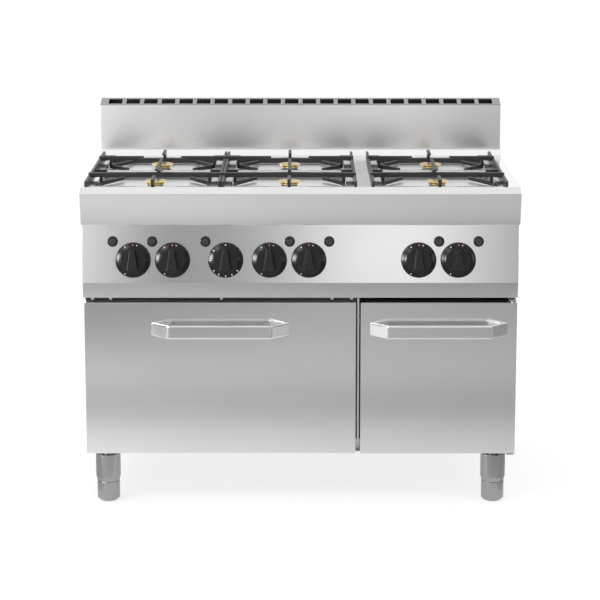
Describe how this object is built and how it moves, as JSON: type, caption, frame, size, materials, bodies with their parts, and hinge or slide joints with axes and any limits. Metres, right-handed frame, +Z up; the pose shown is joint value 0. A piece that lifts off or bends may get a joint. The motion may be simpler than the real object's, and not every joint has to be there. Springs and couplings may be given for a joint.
{
  "type": "commercial gas range",
  "caption": "Freestanding stainless steel gas range with open brass burners under cast grates, a drop-door oven, a side cupboard, a knob panel and a slotted rear flue.",
  "frame": {"origin": "on the floor under the middle of the range's bounding box", "axes": "+X to the right along the front, +Y from the front to the back, +Z up"},
  "size_m": [1.2, 0.72, 1.0635],
  "materials": {
    "worktop_steel": "polished pressed stainless steel",
    "panel_steel": "fine satin stainless steel",
    "inner_steel": "plain stainless sheet",
    "leg_steel": "satin stainless steel tube",
    "handle_steel": "satin stainless steel, bright edges",
    "enamel": "dark grey vitreous enamel",
    "mineral_wool": "mineral wool blanket",
    "floor_iron": "cast iron plate",
    "grate_iron": "matt enamelled cast iron",
    "rack_chrome": "bright chromed wire",
    "gas_steel": "zinc-plated steel pipe",
    "gasket_rubber": "heat-proof seal",
    "burner_cast": "cast burner cup",
    "cap_brass": "machined brass",
    "tap_brass": "cast brass",
    "knob_black": "gloss black thermoset",
    "igniter_black": "satin black plastic"
  },
  "bodies": {
    "frame": {"worktop": "worktop_steel", "control_panel": "panel_steel", "side_panel_left": "panel_steel", "side_panel_right": "panel_steel", "back_panel": "panel_steel", "base_panel": "inner_steel", "centre_partition": "inner_steel", "mid_deck": "inner_steel", "flue_box": "panel_steel", "flue_grille": "panel_steel", "leg_tubes": "leg_steel", "oven_liner": "enamel", "oven_insulation": "mineral_wool", "oven_floor_plate": "floor_iron", "oven_runners": "rack_chrome", "oven_burner": "gas_steel", "oven_gasket": "gasket_rubber", "hinge_brackets": "inner_steel", "burner_bodies": "burner_cast", "burner_caps": "cap_brass", "gas_manifold": "gas_steel", "gas_valves": "tap_brass", "igniter_bodies": "igniter_black"},
    "oven_door": {"oven_door_skin": "panel_steel", "oven_door_liner": "enamel", "oven_door_insulation": "mineral_wool", "oven_door_hinge_blocks": "inner_steel", "oven_door_handle": "handle_steel"},
    "cupboard_door": {"cupboard_door_skin": "panel_steel", "cupboard_door_liner": "inner_steel", "cupboard_door_handle": "handle_steel"},
    "oven_shelf": {"oven_shelf": "rack_chrome"},
    "spindle_left_a": {"spindle_left_a": "tap_brass"},
    "knob_left_a": {"knob_left_a": "knob_black"},
    "igniter_button_left_a": {"igniter_button_left_a": "igniter_black"},
    "spindle_left_b": {"spindle_left_b": "tap_brass"},
    "knob_left_b": {"knob_left_b": "knob_black"},
    "igniter_button_left_b": {"igniter_button_left_b": "igniter_black"},
    "spindle_oven": {"spindle_oven": "tap_brass"},
    "knob_oven": {"knob_oven": "knob_black"},
    "igniter_button_oven": {"igniter_button_oven": "igniter_black"},
    "spindle_middle_a": {"spindle_middle_a": "tap_brass"},
    "knob_middle_a": {"knob_middle_a": "knob_black"},
    "igniter_button_middle_a": {"igniter_button_middle_a": "igniter_black"},
    "spindle_middle_b": {"spindle_middle_b": "tap_brass"},
    "knob_middle_b": {"knob_middle_b": "knob_black"},
    "igniter_button_middle_b": {"igniter_button_middle_b": "igniter_black"},
    "spindle_right_a": {"spindle_right_a": "tap_brass"},
    "knob_right_a": {"knob_right_a": "knob_black"},
    "igniter_button_right_a": {"igniter_button_right_a": "igniter_black"},
    "spindle_right_b": {"spindle_right_b": "tap_brass"},
    "knob_right_b": {"knob_right_b": "knob_black"},
    "igniter_button_right_b": {"igniter_button_right_b": "igniter_black"},
    "grate_left": {"grate_left": "grate_iron"},
    "grate_middle": {"grate_middle": "grate_iron"},
    "grate_right": {"grate_right": "grate_iron"},
    "foot_front_left": {"foot_front_left": "leg_steel"},
    "foot_front_right": {"foot_front_right": "leg_steel"},
    "foot_back_left": {"foot_back_left": "leg_steel"},
    "foot_back_right": {"foot_back_right": "leg_steel"}
  },
  "joints": [
    {"name": "oven_door_hinge", "type": "hinge", "parent": "frame", "child": "oven_door", "pos_m": [-0.2215, -0.299, 0.153], "axis": [1, 0, 0], "range_deg": [0, 90]},
    {"name": "cupboard_door_hinge", "type": "hinge", "parent": "frame", "child": "cupboard_door", "pos_m": [0.585, -0.3, 0.362], "axis": [0, 0, 1], "range_deg": [0, 110]},
    {"name": "oven_shelf_slide", "type": "slide", "parent": "frame", "child": "oven_shelf", "axis": [0, -1, 0], "range_m": [0, 0.3]},
    {"name": "knob_left_a_press", "type": "slide", "parent": "frame", "child": "spindle_left_a", "axis": [0, 0.9972, -0.0748], "range_m": [0, 0.003], "stiffness_N_per_m": 1500, "springref_m": -0.002},
    {"name": "knob_left_a_turn", "type": "hinge", "parent": "spindle_left_a", "child": "knob_left_a", "pos_m": [-0.458, -0.32327, 0.699], "axis": [0, -0.9972, 0.0748], "range_deg": [0, 210]},
    {"name": "igniter_left_a_press", "type": "slide", "parent": "frame", "child": "igniter_button_left_a", "axis": [0, 0.9972, -0.0748], "range_m": [0, 0.003], "stiffness_N_per_m": 600, "springref_m": -0.002},
    {"name": "knob_left_b_press", "type": "slide", "parent": "frame", "child": "spindle_left_b", "axis": [0, 0.9972, -0.0748], "range_m": [0, 0.003], "stiffness_N_per_m": 1500, "springref_m": -0.002},
    {"name": "knob_left_b_turn", "type": "hinge", "parent": "spindle_left_b", "child": "knob_left_b", "pos_m": [-0.35, -0.32327, 0.699], "axis": [0, -0.9972, 0.0748], "range_deg": [0, 210]},
    {"name": "igniter_left_b_press", "type": "slide", "parent": "frame", "child": "igniter_button_left_b", "axis": [0, 0.9972, -0.0748], "range_m": [0, 0.003], "stiffness_N_per_m": 600, "springref_m": -0.002},
    {"name": "knob_oven_press", "type": "slide", "parent": "frame", "child": "spindle_oven", "axis": [0, 0.9972, -0.0748], "range_m": [0, 0.003], "stiffness_N_per_m": 1500, "springref_m": -0.002},
    {"name": "knob_oven_turn", "type": "hinge", "parent": "spindle_oven", "child": "knob_oven", "pos_m": [-0.20451, -0.32327, 0.699], "axis": [0, -0.9972, 0.0748], "range_deg": [0, 270]},
    {"name": "igniter_oven_press", "type": "slide", "parent": "frame", "child": "igniter_button_oven", "axis": [0, 0.9972, -0.0748], "range_m": [0, 0.003], "stiffness_N_per_m": 600, "springref_m": -0.002},
    {"name": "knob_middle_a_press", "type": "slide", "parent": "frame", "child": "spindle_middle_a", "axis": [0, 0.9972, -0.0748], "range_m": [0, 0.003], "stiffness_N_per_m": 1500, "springref_m": -0.002},
    {"name": "knob_middle_a_turn", "type": "hinge", "parent": "spindle_middle_a", "child": "knob_middle_a", "pos_m": [-0.085, -0.32327, 0.699], "axis": [0, -0.9972, 0.0748], "range_deg": [0, 210]},
    {"name": "igniter_middle_a_press", "type": "slide", "parent": "frame", "child": "igniter_button_middle_a", "axis": [0, 0.9972, -0.0748], "range_m": [0, 0.003], "stiffness_N_per_m": 600, "springref_m": -0.002},
    {"name": "knob_middle_b_press", "type": "slide", "parent": "frame", "child": "spindle_middle_b", "axis": [0, 0.9972, -0.0748], "range_m": [0, 0.003], "stiffness_N_per_m": 1500, "springref_m": -0.002},
    {"name": "knob_middle_b_turn", "type": "hinge", "parent": "spindle_middle_b", "child": "knob_middle_b", "pos_m": [0.023, -0.32327, 0.699], "axis": [0, -0.9972, 0.0748], "range_deg": [0, 210]},
    {"name": "igniter_middle_b_press", "type": "slide", "parent": "frame", "child": "igniter_button_middle_b", "axis": [0, 0.9972, -0.0748], "range_m": [0, 0.003], "stiffness_N_per_m": 600, "springref_m": -0.002},
    {"name": "knob_right_a_press", "type": "slide", "parent": "frame", "child": "spindle_right_a", "axis": [0, 0.9972, -0.0748], "range_m": [0, 0.003], "stiffness_N_per_m": 1500, "springref_m": -0.002},
    {"name": "knob_right_a_turn", "type": "hinge", "parent": "spindle_right_a", "child": "knob_right_a", "pos_m": [0.3235, -0.32327, 0.699], "axis": [0, -0.9972, 0.0748], "range_deg": [0, 210]},
    {"name": "igniter_right_a_press", "type": "slide", "parent": "frame", "child": "igniter_button_right_a", "axis": [0, 0.9972, -0.0748], "range_m": [0, 0.003], "stiffness_N_per_m": 600, "springref_m": -0.002},
    {"name": "knob_right_b_press", "type": "slide", "parent": "frame", "child": "spindle_right_b", "axis": [0, 0.9972, -0.0748], "range_m": [0, 0.003], "stiffness_N_per_m": 1500, "springref_m": -0.002},
    {"name": "knob_right_b_turn", "type": "hinge", "parent": "spindle_right_b", "child": "knob_right_b", "pos_m": [0.4315, -0.32327, 0.699], "axis": [0, -0.9972, 0.0748], "range_deg": [0, 210]},
    {"name": "igniter_right_b_press", "type": "slide", "parent": "frame", "child": "igniter_button_right_b", "axis": [0, 0.9972, -0.0748], "range_m": [0, 0.003], "stiffness_N_per_m": 600, "springref_m": -0.002},
    {"name": "grate_left_lift", "type": "slide", "parent": "frame", "child": "grate_left", "axis": [0, 0, 1], "range_m": [0, 0.1]},
    {"name": "grate_middle_lift", "type": "slide", "parent": "frame", "child": "grate_middle", "axis": [0, 0, 1], "range_m": [0, 0.1]},
    {"name": "grate_right_lift", "type": "slide", "parent": "frame", "child": "grate_right", "axis": [0, 0, 1], "range_m": [0, 0.1]},
    {"name": "foot_front_left_screw_out", "type": "slide", "parent": "frame", "child": "foot_front_left", "axis": [0, 0, -1], "range_m": [0, 0.03]},
    {"name": "foot_front_right_screw_out", "type": "slide", "parent": "frame", "child": "foot_front_right", "axis": [0, 0, -1], "range_m": [0, 0.03]},
    {"name": "foot_back_left_screw_out", "type": "slide", "parent": "frame", "child": "foot_back_left", "axis": [0, 0, -1], "range_m": [0, 0.03]},
    {"name": "foot_back_right_screw_out", "type": "slide", "parent": "frame", "child": "foot_back_right", "axis": [0, 0, -1], "range_m": [0, 0.03]}
  ],
  "couplings": [
    {"joint": "oven_shelf_slide", "follows": "oven_door_hinge", "m_per_rad": 0.19}
  ]
}
